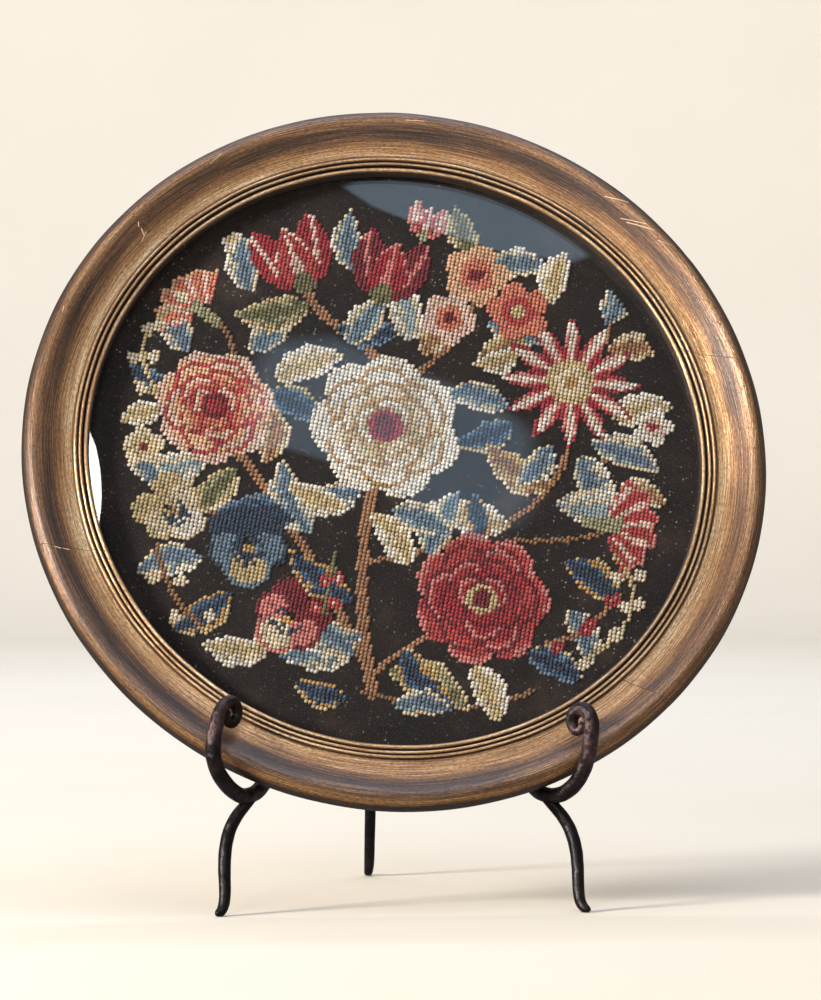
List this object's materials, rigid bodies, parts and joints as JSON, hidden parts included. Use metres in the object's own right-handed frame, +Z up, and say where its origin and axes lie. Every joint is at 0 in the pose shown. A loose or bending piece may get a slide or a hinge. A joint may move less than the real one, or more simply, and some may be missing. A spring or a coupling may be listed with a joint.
{
  "type": "framed berlin woolwork panel on an iron easel",
  "caption": "Round gilt-wood frame with glass over a black cloth worked in coloured wool flowers and leaves, leaning on a wrought-iron scroll easel.",
  "frame": {"origin": "on the surface that it stands on, under the middle of the whole object's box", "axes": "+Z up, +Y to the back, so the picture faces -Y and leans back; +X to the right as seen from the front"},
  "size_m": [0.3898, 0.205, 0.4169],
  "materials": {
    "gilt_wood": "antiqued bronze gilding with dark umber brush streaks",
    "pane_glass": "clear polished",
    "woolwork": "black wool ground with coloured wool stitches",
    "pine_board": "bare, aged",
    "wrought_iron": "hammered, dark satin"
  },
  "bodies": {
    "root": {"frame_top": "gilt_wood", "frame_left": "gilt_wood", "frame_bottom": "gilt_wood", "frame_right": "gilt_wood", "glass_pane": "pane_glass", "worked_cloth": "woolwork", "back_board": "pine_board", "easel_arm_left": "wrought_iron", "easel_arm_right": "wrought_iron", "easel_leg_left": "wrought_iron", "easel_leg_right": "wrought_iron", "easel_brace": "wrought_iron", "easel_head": "wrought_iron", "easel_back_leg": "wrought_iron"}
  },
  "joints": []
}
